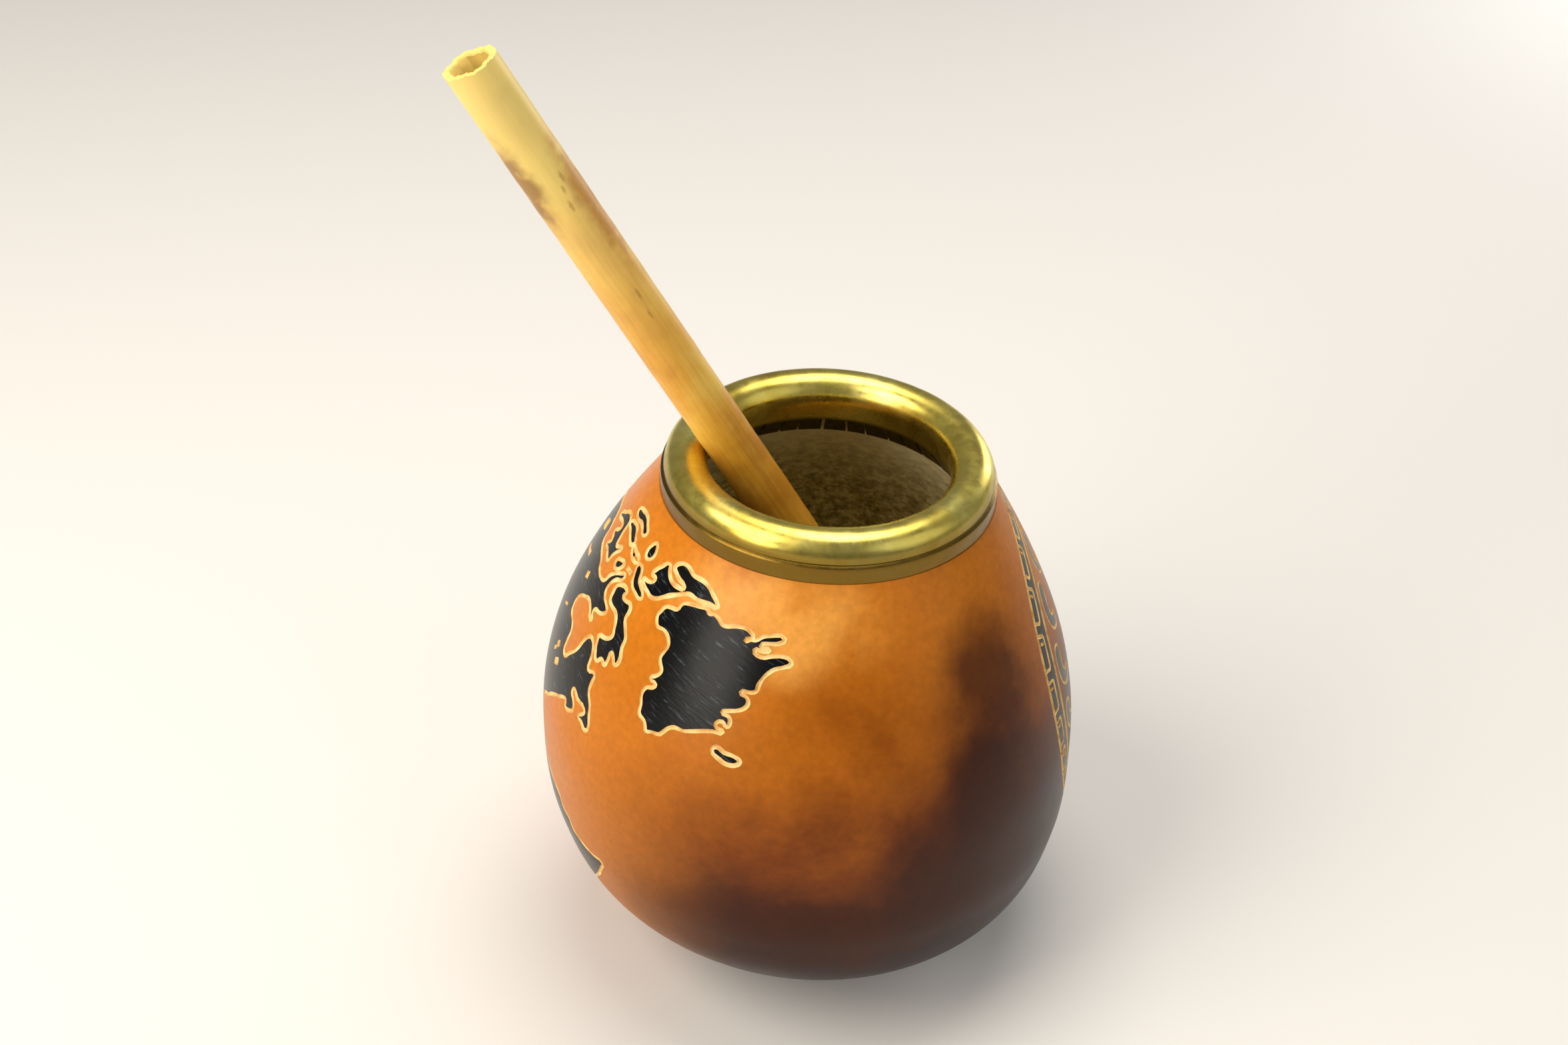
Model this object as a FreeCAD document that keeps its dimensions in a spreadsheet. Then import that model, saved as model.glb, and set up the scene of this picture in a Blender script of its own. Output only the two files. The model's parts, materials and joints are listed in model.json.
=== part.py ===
import FreeCAD, Part

import math
import os

import Sketcher
from FreeCAD import Placement, Rotation, Vector

# A mate cup: a hollow dried gourd on a sanded flat, a rolled brass rim over its cut mouth,
# and a cane drinking straw that leans on the rim with its foot on the inside wall.
# Millimetres, +Z up along the mouth's axis, origin on the flat that the gourd stands on.
SIZES = {
    "body_height": 79.2,
    "belly_radius": 41.0,
    "base_radius": 16.7,
    "shoulder_radius": 24.4,
    "base_shift": 2.3,
    "belly_bow": 2.0,
    "wall": 4.2,
    "floor_thickness": 5.0,
    "seat_step": 0.72,
    "neck_height": 2.2,
    "neck_wall": 3.48,
    "mouth_depth": 2.2,
    "sheet": 0.5,
    "rim_fit": 0.1,
    "skirt_height": 3.1,
    "crease_step": 0.45,
    "crease_drop": 0.6,
    "crease_angle": 6,
    "bead_tube": 3.16,
    "lining_angle": 17,
    "lining_depth": 3.9,
    "tab_reach": 3.5,
    "tab_count": 38,
    "slit_width": 0.35,
    "straw_length": 150.8,
    "straw_diameter": 7.35,
    "straw_bore": 5.1,
    "lean_angle": 30.8,
    "heading_angle": 192.3,
    "touch_angle": 181,
    "straw_gap": 0.1,
    "foot_gap": 0.1,
    "foot_round": 0.8,
    "node_thickness": 2.5,
    "top_angle": 5,
    "kerf_start": 6.0,
    "kerf_width": 0.7,
    "kerf_depth": 2.6,
    "kerf_spacing": 3.5,
    "kerf_count": 5,
    "groove_width": 0.84,
    "groove_depth": 0.42,
    "medallion_angle": 31.7,
    "medallion_height": 48.5,
    "medallion_radius": 34.4,
    "band_width": 3.6,
    "band_groove": 0.62,
}

# How the gourd swells: share of its height, and how full it is there,
# from 0 at the flat and at the shoulder to 1 at the belly.
BELLY_SHARE = 0.44
SWELL = [
    (0.0, 0.0),
    (0.06, 0.337),
    (0.18, 0.784),
    (0.32, 0.972),
    (0.44, 1.0),
    (0.56, 0.963),
    (0.68, 0.822),
    (0.80, 0.575),
    (0.91, 0.283),
    (1.0, 0.0),
]

# Radii and levels where the pieces meet, worked out from the sizes.
PLACES = {
    "seat_level": "=Sizes.body_height",
    "neck_radius": "=Sizes.shoulder_radius - Sizes.seat_step",
    "neck_top": "=seat_level + Sizes.neck_height",
    "mouth_radius": "=neck_radius - Sizes.neck_wall",
    "mouth_bottom": "=seat_level - Sizes.mouth_depth",
    "rim_level": "=seat_level + Sizes.skirt_height",
    "skirt_in": "=neck_radius + Sizes.rim_fit",
    "skirt_out": "=skirt_in + Sizes.sheet",
    "skirt_top": "=rim_level - Sizes.crease_drop",
    "skirt_inner_top": "=skirt_top - Sizes.sheet / 2",
    "bead_centre": "=skirt_out - Sizes.crease_step - Sizes.bead_tube",
    "bead_start": "=bead_centre + Sizes.bead_tube * cos(Sizes.crease_angle * 1deg)",
    "bead_start_level": "=rim_level - Sizes.bead_tube * sin(Sizes.crease_angle * 1deg)",
    "bead_end": "=bead_centre - Sizes.bead_tube * cos(Sizes.lining_angle * 1deg)",
    "bead_end_level": "=rim_level - Sizes.bead_tube * sin(Sizes.lining_angle * 1deg)",
    "hollow_tube": "=Sizes.bead_tube - Sizes.sheet",
    "hollow_start": "=bead_centre + hollow_tube * cos(Sizes.crease_angle * 1deg)",
    "hollow_start_level": "=rim_level - hollow_tube * sin(Sizes.crease_angle * 1deg)",
    "hollow_end": "=bead_centre - hollow_tube * cos(Sizes.lining_angle * 1deg)",
    "hollow_end_level": "=rim_level - hollow_tube * sin(Sizes.lining_angle * 1deg)",
    "knee_level": "=rim_level - Sizes.lining_depth",
    "knee_above_wall": "=knee_level - mouth_bottom",
    "wall_flare": "=(Sizes.belly_radius - Sizes.wall - mouth_radius)"
    f" * {SWELL[-2][1]} / {1 - SWELL[-2][0]:.2f} / (mouth_bottom - Sizes.floor_thickness)",
    "knee_back": "=mouth_radius - Sizes.rim_fit - knee_above_wall * wall_flare",
    "knee_front": "=knee_back - Sizes.sheet",
    "tab_level": "=knee_level - Sizes.tab_reach",
    "tab_back": "=knee_back + Sizes.tab_reach * wall_flare - 2 * Sizes.rim_fit",
    "tab_front": "=tab_back - Sizes.sheet",
    "saw_reach": "=Sizes.straw_diameter",
    "saw_high": "=Sizes.straw_length + Sizes.straw_diameter / 2 * tan(Sizes.top_angle * 1deg)",
    "saw_low": "=saw_high - 2 * saw_reach * tan(Sizes.top_angle * 1deg)",
}

# The map carved on the skin: grooves along these coasts, as azimuth in degrees and height
# in millimetres, where -90 degrees faces the front.
COASTS = [
    [
        (-134.0, 71.0), (-129.5, 71.8), (-126.4, 73.0), (-121.1, 73.3), (-116.0, 72.5),
        (-109.0, 72.8), (-105.5, 71.9), (-97.3, 72.6), (-101.0, 71.2), (-104.6, 70.6),
        (-96.7, 70.6), (-94.6, 69.9), (-99.9, 68.4), (-101.6, 66.7), (-104.8, 65.3),
        (-103.4, 64.2), (-105.5, 63.0), (-108.2, 62.2), (-106.4, 61.2), (-109.0, 60.5),
        (-108.6, 59.7), (-114.9, 58.6), (-119.5, 58.0), (-122.0, 56.4), (-125.5, 55.9),
        (-128.7, 57.8), (-129.6, 60.2), (-127.2, 61.9), (-128.4, 63.0), (-127.0, 64.1),
        (-128.4, 65.6), (-127.9, 67.3), (-130.0, 68.5), (-133.2, 68.5), (-134.9, 69.8),
    ],
    [
        (-146.2, 71.7), (-142.3, 72.4), (-143.6, 73.4), (-140.1, 75.4), (-137.3, 74.2),
        (-131.2, 74.1), (-137.6, 75.5), (-134.2, 76.5), (-125.5, 76.0), (-121.1, 75.1),
        (-118.6, 74.2), (-128.5, 73.8), (-134.4, 72.4), (-140.2, 70.8),
    ],
    [
        (-153.9, 67.8), (-151.2, 69.0), (-149.2, 68.4), (-145.0, 68.1), (-144.3, 66.5),
        (-140.9, 64.4), (-139.6, 61.2), (-143.2, 61.5), (-143.6, 59.7), (-146.8, 59.1),
        (-150.0, 61.6), (-146.4, 62.6), (-145.6, 63.6), (-148.0, 65.6), (-153.2, 66.2),
    ],
    [
        (-192.9, 69.6), (-184.0, 70.6), (-178.5, 69.1), (-176.8, 67.6), (-168.9, 66.9),
        (-162.0, 66.2), (-159.6, 67.8), (-153.6, 69.8), (-157.0, 67.4), (-156.9, 66.0),
        (-152.1, 64.8), (-157.0, 63.2), (-162.1, 62.8), (-166.8, 61.4), (-168.3, 59.5),
        (-164.3, 58.2), (-161.6, 54.3), (-158.2, 55.2), (-155.0, 58.2), (-152.8, 60.4),
        (-150.0, 59.8), (-148.2, 57.0), (-145.3, 57.0), (-145.0, 54.8), (-141.8, 50.2),
        (-145.4, 50.4), (-145.5, 52.1), (-150.5, 52.6), (-149.0, 49.6), (-153.9, 49.5),
        (-161.4, 46.2), (-172.0, 41.0), (-188.0, 41.0), (-203.0, 48.0), (-208.0, 58.0),
        (-202.0, 66.0),
    ],
    [
        (-178.9, 71.5), (-172.5, 73.8), (-169.3, 73.4), (-166.6, 70.4), (-162.7, 71.1),
        (-165.2, 68.2), (-172.3, 68.4), (-171.2, 69.5), (-173.4, 70.4), (-171.6, 71.8),
    ],
    [
        (-172.0, 35.0), (-160.0, 33.0), (-152.3, 31.9), (-147.3, 29.8), (-146.0, 28.5),
        (-135.0, 28.0), (-137.4, 24.4), (-143.6, 19.2), (-156.0, 14.0), (-176.0, 16.0),
        (-186.0, 27.0),
    ],
]

# Islets too small for a field inside: each is cut out whole.
ISLETS = [
    [(-108.7, 57.6), (-105.5, 57.4), (-102.6, 56.7), (-104.5, 55.9), (-108.0, 56.5)],
    [(-169.4, 75.5), (-163.0, 76.4), (-156.8, 75.4), (-163.0, 75.2)],
    [(-168.4, 73.7), (-163.5, 74.5), (-159.0, 73.2), (-163.5, 72.9)],
    [(-151.1, 75.2), (-149.5, 75.9), (-147.6, 74.9), (-149.5, 73.8)],
    [(-161.1, 69.6), (-157.0, 70.5), (-160.0, 69.0)],
    [(-151.1, 72.4), (-148.4, 72.3), (-143.0, 70.1), (-148.6, 70.0)],
]

# The rim's rolled sheet in section: up the skirt, over the bead, down the lining and its tab,
# and back along the hidden face.
RIM_SECTION = [
    ("skirt_out", "seat_level"),
    ("skirt_out", "skirt_top"),
    ("bead_start", "bead_start_level"),
    ("bead_end", "bead_end_level"),
    ("knee_front", "knee_level"),
    ("tab_front", "tab_level"),
    ("tab_back", "tab_level"),
    ("knee_back", "knee_level"),
    ("hollow_end", "hollow_end_level"),
    ("hollow_start", "hollow_start_level"),
    ("skirt_in", "skirt_inner_top"),
    ("skirt_in", "seat_level"),
]


def makeSheet(doc, name, cells):
    sheet = doc.addObject("Spreadsheet::Sheet", name)
    for row, (alias, content) in enumerate(cells.items(), start=1):
        sheet.set(f"A{row}", alias)
        sheet.setAlias(f"B{row}", alias)
        sheet.set(f"B{row}", str(content))
    doc.recompute()
    return sheet


def newBody(doc, label):
    body = doc.addObject("PartDesign::Body", label)
    body.Label = label
    return body


def newSketch(body, name, role="XY_Plane", level="0", shift="0"):
    plane = next(item for item in body.Origin.OriginFeatures if item.Role == role)
    sketch = body.newObject("Sketcher::SketchObject", name)
    sketch.AttachmentSupport = [(plane, "")]
    sketch.MapMode = "FlatFace"
    sketch.setExpression("AttachmentOffset.Base.x", shift)
    sketch.setExpression("AttachmentOffset.Base.z", level)
    return sketch


def setSize(sketch, size, *constraint):
    row = sketch.addConstraint(Sketcher.Constraint(*constraint))
    sketch.setExpression(f"Constraints[{row}]", size)


def drawCircle(sketch, radius):
    circle = sketch.addGeometry(Part.Circle(Vector(0, 0, 0), Vector(0, 0, 1), 10), False)
    sketch.addConstraint(Sketcher.Constraint("Coincident", circle, 3, -1, 1))
    setSize(sketch, radius, "Radius", circle, 10)


def drawPath(sketch, corners, sizes, arcs):
    # A closed outline through corners, each held by its two sizes; arcs bulge up between
    # two of them, and run back if the first lies left of the second.
    ends = []
    for index, corner in enumerate(corners):
        following = corners[(index + 1) % len(corners)]
        if index not in arcs:
            sketch.addGeometry(Part.LineSegment(corner, following), False)
            ends.append((1, 2))
            continue
        middle, radius = arcs[index]
        right, left = (corner, following) if corner.x > following.x else (following, corner)
        turns = [math.atan2(point.y - middle.y, point.x - middle.x) for point in (right, left)]
        circle = Part.Circle(middle, Vector(0, 0, 1), right.distanceToPoint(middle))
        arc = sketch.addGeometry(Part.ArcOfCircle(circle, turns[0], turns[1]), False)
        ends.append((1, 2) if corner is right else (2, 1))
        setSize(sketch, radius, "Radius", arc, right.distanceToPoint(middle))
    for index in range(len(corners)):
        following = (index + 1) % len(corners)
        sketch.addConstraint(
            Sketcher.Constraint("Coincident", index, ends[index][1], following, ends[following][0])
        )
    for index, (x, y) in enumerate(sizes):
        setSize(sketch, x, "DistanceX", -1, 1, index, ends[index][0], corners[index].x)
        setSize(sketch, y, "DistanceY", -1, 1, index, ends[index][0], corners[index].y)


def drawRectangle(sketch, left, right, low, high):
    corners = [Vector(1, 1, 0), Vector(2, 1, 0), Vector(2, 2, 0), Vector(1, 2, 0)]
    for index, corner in enumerate(corners):
        sketch.addGeometry(Part.LineSegment(corner, corners[(index + 1) % 4]), False)
    for index, kind in enumerate(["Horizontal", "Vertical", "Horizontal", "Vertical"]):
        sketch.addConstraint(Sketcher.Constraint("Coincident", index, 2, (index + 1) % 4, 1))
        sketch.addConstraint(Sketcher.Constraint(kind, index))
    setSize(sketch, left, "DistanceX", -1, 1, 0, 1, 1)
    setSize(sketch, low, "DistanceY", -1, 1, 0, 1, 1)
    setSize(sketch, right, "DistanceX", -1, 1, 2, 1, 2)
    setSize(sketch, high, "DistanceY", -1, 1, 2, 1, 2)


def loft(body, name, kind, low, high, foot, belly, top):
    sketches = []
    for index, (share, fullness) in enumerate(SWELL):
        end = foot if share < BELLY_SHARE else top
        lean = f"{1 - share:.3f} * (Sizes.base_shift - {4 * share:.3f} * Sizes.belly_bow)"
        level = f"{low} + ({high} - {low}) * {share}"
        sketch = newSketch(body, f"{name}_section_{index}", level=level, shift=lean)
        drawCircle(sketch, f"{end} + ({belly} - {end}) * {fullness}")
        sketches.append(sketch)
    feature = body.newObject(kind, name)
    feature.Profile = sketches[0]
    feature.Sections = sketches[1:]
    return feature


def padCircle(body, name, kind, radius, level, length):
    sketch = newSketch(body, f"{name}_sketch", level=level)
    drawCircle(sketch, radius)
    feature = body.newObject(kind, name)
    feature.Profile = sketch
    feature.setExpression("Length", length)
    return feature


def makeBlank(doc):
    # The gourd before it is carved.
    body = newBody(doc, "blank")
    loft(
        body, "skin", "PartDesign::AdditiveLoft",
        "0", "Sizes.body_height",
        "Sizes.base_radius", "Sizes.belly_radius", "Sizes.shoulder_radius",
    )
    padCircle(
        body, "neck", "PartDesign::Pad",
        "Places.neck_radius", "Sizes.body_height", "Sizes.neck_height",
    )
    loft(
        body, "cavity", "PartDesign::SubtractiveLoft",
        "Sizes.floor_thickness", "Places.mouth_bottom",
        "Sizes.base_radius", "Sizes.belly_radius - Sizes.wall", "Places.mouth_radius",
    )
    padCircle(
        body, "mouth", "PartDesign::Pocket",
        "Places.mouth_radius", "Places.neck_top", "Sizes.neck_height + Sizes.mouth_depth",
    )
    return body


# Places on the gourd's outside, for what is carved there.
class Skin:
    def __init__(self, sizes):
        self.sizes = sizes
        ends = {True: sizes.get("base_radius"), False: sizes.get("shoulder_radius")}
        belly = sizes.get("belly_radius")
        corners = []
        for share, fullness in SWELL:
            end = ends[share < BELLY_SHARE]
            level = share * sizes.get("body_height")
            corners.append(Vector(end + (belly - end) * fullness, 0, level))
        self.profile = Part.BSplineCurve()
        self.profile.interpolate(corners)

    def place(self, azimuth, height):
        low, high = self.profile.FirstParameter, self.profile.LastParameter
        for _ in range(30):
            middle = (low + high) / 2
            if self.profile.value(middle).z < height:
                low = middle
            else:
                high = middle
        radius = self.profile.value(low).x
        share = height / self.sizes.get("body_height")
        shift = (1 - share) * (
            self.sizes.get("base_shift") - 4 * share * self.sizes.get("belly_bow")
        )
        turn = math.radians(azimuth)
        return Vector(shift + radius * math.cos(turn), radius * math.sin(turn), height)

    def outward(self, azimuth, height):
        step = self.sizes.get("groove_width")
        across = self.place(azimuth + 1, height) - self.place(azimuth - 1, height)
        up = self.place(azimuth, height + step) - self.place(azimuth, height - step)
        return across.cross(up).normalize()

    def compassPlace(self, turn, distance):
        # The place this far from the medallion's middle, in a straight line, and turned so far.
        azimuth, height = self.sizes.get("medallion_angle"), self.sizes.get("medallion_height")
        middle = self.place(azimuth, height)
        belly = self.sizes.get("belly_radius")
        near, far = 0, 2 * distance
        for _ in range(30):
            reach = (near + far) / 2
            level = min(max(height + reach * math.sin(turn), 0), self.sizes.get("body_height"))
            place = self.place(azimuth + math.degrees(reach * math.cos(turn) / belly), level)
            if place.distanceToPoint(middle) < distance:
                near = reach
            else:
                far = reach
        return place


def cutBlade(places, outward, width, whole=False):
    # A strip of this width along the closed line through the places, or with its field whole,
    # made flat as seen from outward and long enough to pass through the skin.
    middle = sum(places, Vector()) / len(places)
    depths = [(place - middle).dot(outward) for place in places]
    flat = [place - outward * depth for place, depth in zip(places, depths)]
    field = Part.Face(Part.makePolygon(flat + flat[:1]))
    strip = field.makeOffset2D(width / 2)
    if not whole:
        strip = strip.cut(field.makeOffset2D(-width / 2))
    strip.translate(outward * (min(depths) - 2 * width))
    return strip.extrude(outward * (max(depths) - min(depths) + 4 * width))


def mapBlades(skin, sizes):
    width = sizes.get("groove_width")
    blades = []
    for outlines, whole in ((COASTS, False), (ISLETS, True)):
        for outline in outlines:
            azimuths, heights = zip(*outline)
            outward = skin.outward(sum(azimuths) / len(azimuths), sum(heights) / len(heights))
            places = [skin.place(*point) for point in outline]
            blades.append(cutBlade(places, outward, width, whole))
    return blades


def medallionBlades(skin, sizes):
    # Two compass circles with the border between them.
    outward = skin.outward(sizes.get("medallion_angle"), sizes.get("medallion_height"))
    outer = sizes.get("medallion_radius")
    blades = []
    for radius in (outer, outer - sizes.get("band_width")):
        circle = [skin.compassPlace(math.radians(turn), radius) for turn in range(0, 360, 10)]
        blades.append(cutBlade(circle, outward, sizes.get("band_groove")))
    return blades


def carveGourd(doc, sizes, blank):
    # The strips lose what lies under the grooves' floor, and the blank loses the rest.
    core = newBody(doc, "core")
    loft(
        core, "groove_floor", "PartDesign::AdditiveLoft",
        "0", "Sizes.body_height",
        "Sizes.base_radius - Sizes.groove_depth", "Sizes.belly_radius - Sizes.groove_depth",
        "Sizes.shoulder_radius - Sizes.groove_depth",
    )
    doc.recompute()
    grooves = doc.addObject("Part::Feature", "grooves")
    skin = Skin(sizes)
    strips = mapBlades(skin, sizes) + medallionBlades(skin, sizes)
    grooves.Shape = Part.makeCompound([strip.cut(core.Shape) for strip in strips])
    gourd = doc.addObject("Part::Feature", "gourd")
    gourd.Shape = blank.Shape.cut(tuple(grooves.Shape.Solids))
    return gourd


def makeRim(doc, places):
    body = newBody(doc, "rim")
    section = newSketch(body, "rolled_section", "XZ_Plane")
    corners = [Vector(places.get(x), places.get(y), 0) for x, y in RIM_SECTION]
    sizes = [(f"Places.{x}", f"Places.{y}") for x, y in RIM_SECTION]
    middle = Vector(places.get("bead_centre"), places.get("rim_level"), 0)
    drawPath(
        section, corners, sizes,
        {2: (middle, "Sizes.bead_tube"), 8: (middle, "Places.hollow_tube")},
    )
    rolled = body.newObject("PartDesign::Revolution", "rolled_sheet")
    rolled.Profile = section
    rolled.ReferenceAxis = (section, ["V_Axis"])
    return body


def cutTabs(body):
    # One slit across the sheet's lower edge, repeated round the mouth, leaves the tabs.
    sketch = newSketch(body, "slit_sketch", "XZ_Plane")
    drawRectangle(
        sketch,
        "Places.knee_front - Sizes.sheet", "Places.tab_back + Sizes.sheet",
        "Places.tab_level - Sizes.sheet", "Places.knee_level",
    )
    slit = body.newObject("PartDesign::Pocket", "slit")
    slit.Profile = sketch
    slit.SideType = "Symmetric"
    slit.setExpression("Length", "Sizes.slit_width")
    pattern = body.newObject("PartDesign::PolarPattern", "tabs")
    pattern.Originals = [slit]
    pattern.Axis = (sketch, ["V_Axis"])
    pattern.Angle = 360
    pattern.setExpression("Occurrences", "Sizes.tab_count")
    body.Tip = pattern


def makeStraw(doc, places):
    # Built upright on its foot, with local +X as the side that faces up once it leans.
    body = newBody(doc, "straw")
    radius = "Sizes.straw_diameter / 2"
    padCircle(body, "cane", "PartDesign::Pad", radius, "0", "Sizes.straw_length")
    padCircle(
        body, "bore", "PartDesign::Pocket",
        "Sizes.straw_bore / 2", "Sizes.straw_length", "Sizes.straw_length - Sizes.node_thickness",
    )
    saw_sketch = newSketch(body, "saw_sketch", "XZ_Plane")
    reach, high, low = [places.get(name) for name in ("saw_reach", "saw_high", "saw_low")]
    drawPath(
        saw_sketch,
        [Vector(-reach, high, 0), Vector(reach, low, 0), Vector(reach, high, 0)],
        [
            ("-Places.saw_reach", "Places.saw_high"),
            ("Places.saw_reach", "Places.saw_low"),
            ("Places.saw_reach", "Places.saw_high"),
        ],
        {},
    )
    sawn = body.newObject("PartDesign::Pocket", "sawn_top")
    sawn.Profile = saw_sketch
    sawn.SideType = "Symmetric"
    sawn.setExpression("Length", "Sizes.straw_diameter * 2")
    kerf_sketch = newSketch(body, "kerf_sketch", "XZ_Plane")
    drawRectangle(
        kerf_sketch,
        f"{radius} - Sizes.kerf_depth", f"{radius} + Sizes.kerf_depth",
        "Sizes.kerf_start", "Sizes.kerf_start + Sizes.kerf_width",
    )
    kerf = body.newObject("PartDesign::Pocket", "kerf")
    kerf.Profile = kerf_sketch
    kerf.SideType = "Symmetric"
    kerf.setExpression("Length", "Sizes.straw_diameter * 2")
    strainer = body.newObject("PartDesign::LinearPattern", "strainer")
    strainer.Originals = [kerf]
    strainer.Direction = (kerf_sketch, ["V_Axis"])
    strainer.setExpression("Length", "Sizes.kerf_spacing * (Sizes.kerf_count - 1)")
    strainer.setExpression("Occurrences", "Sizes.kerf_count")
    body.Tip = strainer
    doc.recompute()
    outer_foot = next(
        f"Edge{number}"
        for number, edge in enumerate(strainer.Shape.Edges, start=1)
        if edge.BoundBox.ZMax < 1e-6
    )
    rounded = body.newObject("PartDesign::Fillet", "rounded_foot")
    rounded.Base = (strainer, [outer_foot])
    rounded.setExpression("Radius", "Sizes.foot_round")
    return body


def seatStraw(straw, gourd, sizes, places):
    # The cane lies against the bead's inner side and slides down until its foot meets the wall.
    lean = math.radians(sizes.get("lean_angle"))
    heading = math.radians(sizes.get("heading_angle"))
    touch = math.radians(sizes.get("touch_angle"))
    radius = sizes.get("straw_diameter") / 2
    up = Vector(math.sin(lean) * math.cos(heading), math.sin(lean) * math.sin(heading), math.cos(lean))
    along_rim = Vector(-math.sin(touch), math.cos(touch), 0)
    off_rim = along_rim.cross(up)
    if off_rim.z < 0:
        off_rim = -off_rim
    off_rim.normalize()
    bead = Vector(math.cos(touch), math.sin(touch), 0) * places.get("bead_centre")
    bead.z = places.get("rim_level")
    rest = bead + off_rim * (sizes.get("bead_tube") + sizes.get("straw_gap") + radius)
    turn = Rotation(off_rim, up.cross(off_rim), up, "ZXY")
    reaches = []
    for step in range(12):
        side = turn.multVec(Vector(math.cos(step * math.pi / 6), math.sin(step * math.pi / 6), 0) * radius)
        ray = Part.makeLine(rest + side, rest + side - up * sizes.get("straw_length"))
        wall = ray.common(gourd.Shape)
        reaches.append(min(vertex.Point.distanceToPoint(rest + side) for vertex in wall.Vertexes))
    foot = rest - up * (min(reaches) - sizes.get("foot_gap"))
    straw.Placement = Placement(foot, turn)


def checkAndExport(doc, pieces):
    for item in doc.Objects:
        if {"Invalid", "Error"} & set(item.State):
            raise RuntimeError(f"{item.Label} failed: {item.State}")
    os.makedirs("parts", exist_ok=True)
    for piece in pieces:
        shape = piece.Shape
        if shape.isNull() or not shape.isValid() or len(shape.Solids) != 1:
            raise RuntimeError(f"{piece.Label} is not one sound solid")
        shape.exportStep(f"parts/{piece.Label}.step")
        print(piece.Label, round(shape.Volume, 1), shape.BoundBox)


def main():
    doc = FreeCAD.newDocument("mate_cup")
    sizes = makeSheet(doc, "Sizes", SIZES)
    places = makeSheet(doc, "Places", PLACES)
    blank = makeBlank(doc)
    rim = makeRim(doc, places)
    cutTabs(rim)
    straw = makeStraw(doc, places)
    doc.recompute()
    gourd = carveGourd(doc, sizes, blank)
    seatStraw(straw, gourd, sizes, places)
    checkAndExport(doc, [gourd, rim, straw])


main()
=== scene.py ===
import json
import math

import bpy
from mathutils import Matrix, Vector

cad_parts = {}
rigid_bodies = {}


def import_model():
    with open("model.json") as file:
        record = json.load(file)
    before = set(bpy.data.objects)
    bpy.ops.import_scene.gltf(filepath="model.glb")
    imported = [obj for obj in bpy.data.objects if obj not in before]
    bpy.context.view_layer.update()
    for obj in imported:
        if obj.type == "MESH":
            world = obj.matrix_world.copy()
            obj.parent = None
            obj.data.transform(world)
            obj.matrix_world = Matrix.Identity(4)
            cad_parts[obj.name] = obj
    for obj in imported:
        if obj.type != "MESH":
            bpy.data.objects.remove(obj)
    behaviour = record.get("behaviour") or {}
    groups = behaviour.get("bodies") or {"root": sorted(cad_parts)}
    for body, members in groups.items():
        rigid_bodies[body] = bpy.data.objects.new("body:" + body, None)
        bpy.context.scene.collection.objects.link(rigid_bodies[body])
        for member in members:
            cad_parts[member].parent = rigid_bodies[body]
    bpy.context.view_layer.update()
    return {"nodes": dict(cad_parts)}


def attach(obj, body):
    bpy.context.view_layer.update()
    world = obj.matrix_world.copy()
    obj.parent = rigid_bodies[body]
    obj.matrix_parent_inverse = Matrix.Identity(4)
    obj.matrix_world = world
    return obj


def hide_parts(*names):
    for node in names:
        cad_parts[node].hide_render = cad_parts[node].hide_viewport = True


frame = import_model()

mm = 0.001
nodes = frame["nodes"]
print("frame loaded:", ", ".join(sorted(nodes)))


def openEdit(piece):
    bpy.ops.object.select_all(action="DESELECT")
    piece.select_set(True)
    bpy.context.view_layer.objects.active = piece
    bpy.ops.object.mode_set(mode="EDIT")


def closeEdit():
    bpy.ops.object.mode_set(mode="OBJECT")


def drawLine(name, points, closed=False):
    # one vertex, pushed from point to point by extrude; points are (x, y, z) in millimetres
    bpy.ops.object.select_all(action="DESELECT")
    start = Vector(points[0]) * mm
    bpy.ops.mesh.primitive_plane_add(size=0.001, location=start)
    line = bpy.context.object
    line.name = name
    bpy.ops.object.transform_apply()
    openEdit(line)
    bpy.ops.mesh.merge(type="CENTER")
    for before, after in zip(points, points[1:]):
        step = (Vector(after) - Vector(before)) * mm
        bpy.ops.mesh.extrude_region_move(TRANSFORM_OT_translate={"value": step})
    if closed:
        bpy.ops.mesh.select_all(action="SELECT")
        bpy.ops.mesh.edge_face_add()
    closeEdit()
    return line


def turnRound(piece, steps):
    openEdit(piece)
    bpy.ops.mesh.select_all(action="SELECT")
    bpy.ops.mesh.spin(steps=steps, angle=2 * math.pi, center=(0, 0, 0), axis=(0, 0, 1))
    bpy.ops.mesh.select_all(action="SELECT")
    bpy.ops.mesh.remove_doubles(threshold=0.00001)
    bpy.ops.mesh.normals_make_consistent(inside=False)
    closeEdit()


def applyModifier(piece, kind, **settings):
    bpy.ops.object.select_all(action="DESELECT")
    piece.select_set(True)
    bpy.context.view_layer.objects.active = piece
    modifier = piece.modifiers.new(kind.title(), kind)
    for key, value in settings.items():
        setattr(modifier, key, value)
    bpy.ops.object.modifier_apply(modifier=modifier.name)


def joinPieces(pieces):
    bpy.ops.object.select_all(action="DESELECT")
    for piece in pieces:
        piece.select_set(True)
    bpy.context.view_layer.objects.active = pieces[0]
    bpy.ops.object.join()
    return bpy.context.object


def wobble(index, seed=0.0):
    # an even, repeatable unevenness between -1 and 1
    return math.sin(index * 2.399 + seed) * 0.6 + math.sin(index * 5.13 + 2 * seed) * 0.4


def toLinear(hexColour):
    channels = [int(hexColour[i:i + 2], 16) / 255 for i in (1, 3, 5)]
    return [c / 12.92 if c <= 0.04045 else ((c + 0.055) / 1.055) ** 2.4 for c in channels] + [1.0]


def newMaterial(name):
    material = bpy.data.materials.new(name)
    material.use_nodes = True
    return material, material.node_tree.nodes["Principled BSDF"]


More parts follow.
